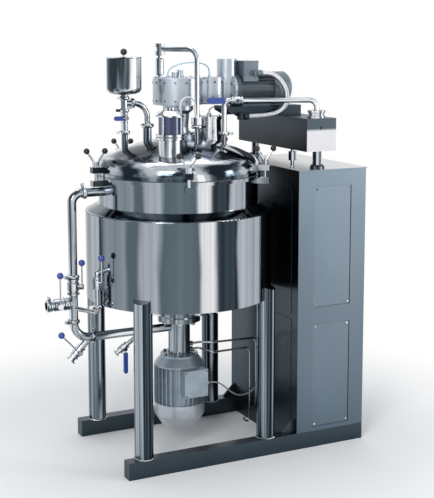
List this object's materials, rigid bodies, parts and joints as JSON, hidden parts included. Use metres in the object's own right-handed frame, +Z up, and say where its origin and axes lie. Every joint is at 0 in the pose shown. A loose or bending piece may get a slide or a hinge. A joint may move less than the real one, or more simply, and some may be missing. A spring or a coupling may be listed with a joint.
{
  "type": "vacuum emulsifying mixer",
  "caption": "Skid-mounted jacketed mixing pot with a lifting lid, stirrer drive, bottom homogenizer, circulation line and lift cabinet.",
  "frame": {"origin": "on the floor, in the middle of the machine's outline without its cords", "axes": "+Z up, +X from the pot towards the lift cabinet, -Y towards the operator"},
  "size_m": [1.875, 1.104, 2.427],
  "materials": {
    "satin_steel": "satin ground stainless steel",
    "polished_steel": "polished stainless steel",
    "cast_motor": "silver motor housing",
    "clamp_steel": "steel screw with black ball knobs",
    "lever_steel": "steel lever with a blue grip",
    "white_rubber": "white silicone",
    "white_plastic": "white scraper plastic",
    "sight_pane": "clear glass",
    "grey_conduit": "wound metal conduit",
    "black_cord": "black cable jacket"
  },
  "bodies": {
    "frame": {"skid_front": "satin_steel", "skid_rear": "satin_steel", "cross_members": "satin_steel", "legs": "satin_steel", "cabinet_shell": "satin_steel", "access_panels": "satin_steel", "column_bushes": "polished_steel", "vessel_pot": "satin_steel", "lid_gasket": "white_rubber", "insulation_jacket": "satin_steel", "homogenizer_housing": "satin_steel", "homogenizer_stator": "polished_steel", "homogenizer_motor": "cast_motor", "homogenizer_fan_cowl": "satin_steel", "homogenizer_terminal_box": "cast_motor", "circulation_riser": "polished_steel", "circulation_inlet": "polished_steel", "vessel_valve_bodies": "polished_steel", "vessel_pipe_clamps": "polished_steel", "service_tubes": "polished_steel", "homogenizer_cable": "black_cord"},
    "lifting_lid": {"lid_shell": "satin_steel", "drive_pedestal": "satin_steel", "planetary_drum": "satin_steel", "gear_neck": "satin_steel", "stirrer_motor": "cast_motor", "stirrer_fan_cowl": "cast_motor", "stirrer_terminal_box": "cast_motor", "motor_bracket": "satin_steel", "crossbeam": "satin_steel", "lift_columns": "polished_steel", "sight_glass_frame": "satin_steel", "sight_glass": "sight_pane", "lamp_housing": "satin_steel", "charge_hopper": "satin_steel", "vent_pipe": "polished_steel", "vacuum_pipe": "polished_steel", "lid_valve_bodies": "polished_steel", "lid_pipe_clamps": "polished_steel", "motor_conduit": "grey_conduit", "sight_cable": "black_cord", "lamp_cable": "black_cord", "air_hose": "black_cord"},
    "anchor": {"anchor_stirrer": "polished_steel", "wall_scrapers": "white_plastic"},
    "paddles": {"paddle_shaft": "polished_steel"},
    "rotor": {"homogenizer_rotor": "polished_steel"},
    "cover": {"hopper_cover": "polished_steel"},
    "clamp_1": {"clamp_screw_1": "clamp_steel"},
    "clamp_2": {"clamp_screw_2": "clamp_steel"},
    "clamp_3": {"clamp_screw_3": "clamp_steel"},
    "clamp_4": {"clamp_screw_4": "clamp_steel"},
    "clamp_5": {"clamp_screw_5": "clamp_steel"},
    "circulation_lever": {"circulation_valve_lever": "lever_steel"},
    "branch_lever": {"branch_valve_lever": "lever_steel"},
    "discharge_lever": {"discharge_valve_lever": "lever_steel"},
    "jacket_lever": {"jacket_valve_lever": "lever_steel"},
    "drain_lever": {"drain_valve_lever": "lever_steel"},
    "vacuum_lever": {"vacuum_valve_lever": "lever_steel"},
    "hopper_lever": {"hopper_valve_lever": "lever_steel"}
  },
  "joints": [
    {"name": "lid_lift", "type": "slide", "parent": "frame", "child": "lifting_lid", "axis": [0, 0, 1], "range_m": [0, 0.9]},
    {"name": "anchor_turn", "type": "hinge", "parent": "lifting_lid", "child": "anchor", "pos_m": [-0.1085, 0, 1.9], "axis": [0, 0, 1], "continuous": true},
    {"name": "paddle_turn", "type": "hinge", "parent": "lifting_lid", "child": "paddles", "pos_m": [-0.1085, 0, 1.9], "axis": [0, 0, 1], "continuous": true},
    {"name": "rotor_turn", "type": "hinge", "parent": "frame", "child": "rotor", "pos_m": [-0.1085, 0, 0.75], "axis": [0, 0, 1], "continuous": true},
    {"name": "cover_lift", "type": "slide", "parent": "lifting_lid", "child": "cover", "axis": [0, 0, 1], "range_m": [0, 0.15]},
    {"name": "clamp_turn_1", "type": "hinge", "parent": "lifting_lid", "child": "clamp_1", "pos_m": [0.30976, 0.30389, 1.72], "axis": [0, 0, 1], "range_deg": [-180, 180]},
    {"name": "clamp_turn_2", "type": "hinge", "parent": "lifting_lid", "child": "clamp_2", "pos_m": [-0.26826, 0.4917, 1.72], "axis": [0, 0, 1], "range_deg": [-180, 180]},
    {"name": "clamp_turn_3", "type": "hinge", "parent": "lifting_lid", "child": "clamp_3", "pos_m": [-0.6255, 0, 1.72], "axis": [0, 0, 1], "range_deg": [-180, 180]},
    {"name": "clamp_turn_4", "type": "hinge", "parent": "lifting_lid", "child": "clamp_4", "pos_m": [-0.26826, -0.4917, 1.72], "axis": [0, 0, 1], "range_deg": [-180, 180]},
    {"name": "clamp_turn_5", "type": "hinge", "parent": "lifting_lid", "child": "clamp_5", "pos_m": [0.30976, -0.30389, 1.72], "axis": [0, 0, 1], "range_deg": [-180, 180]},
    {"name": "circulation_lever_turn", "type": "hinge", "parent": "frame", "child": "circulation_lever", "pos_m": [-0.7745, 0, 1.042], "axis": [0.7659, -0.6429, 0], "range_deg": [0, 90]},
    {"name": "branch_lever_turn", "type": "hinge", "parent": "frame", "child": "branch_lever", "pos_m": [-0.8695, 0, 0.943], "axis": [0, -1, 0], "range_deg": [0, 90]},
    {"name": "discharge_lever_turn", "type": "hinge", "parent": "frame", "child": "discharge_lever", "pos_m": [-0.75407, 0, 0.65388], "axis": [0, -1, 0], "range_deg": [0, 90]},
    {"name": "jacket_lever_turn", "type": "hinge", "parent": "frame", "child": "jacket_lever", "pos_m": [-0.6905, -0.162, 1.088], "axis": [0.3419, -0.9397, 0], "range_deg": [0, 90]},
    {"name": "drain_lever_turn", "type": "hinge", "parent": "frame", "child": "drain_lever", "pos_m": [-0.5705, -0.252, 0.72], "axis": [0, -1, 0], "range_deg": [-57, 33]},
    {"name": "vacuum_lever_turn", "type": "hinge", "parent": "lifting_lid", "child": "vacuum_lever", "pos_m": [0.19085, -0.18152, 2.094], "axis": [-0.4041, -0.9147, 0], "range_deg": [-90, 0]},
    {"name": "hopper_lever_turn", "type": "hinge", "parent": "lifting_lid", "child": "hopper_lever", "pos_m": [-0.4475, 0, 2], "axis": [0, -1, 0], "range_deg": [-90, 0]}
  ],
  "couplings": [
    {"joint": "paddle_turn", "follows": "anchor_turn", "ratio": -2}
  ]
}
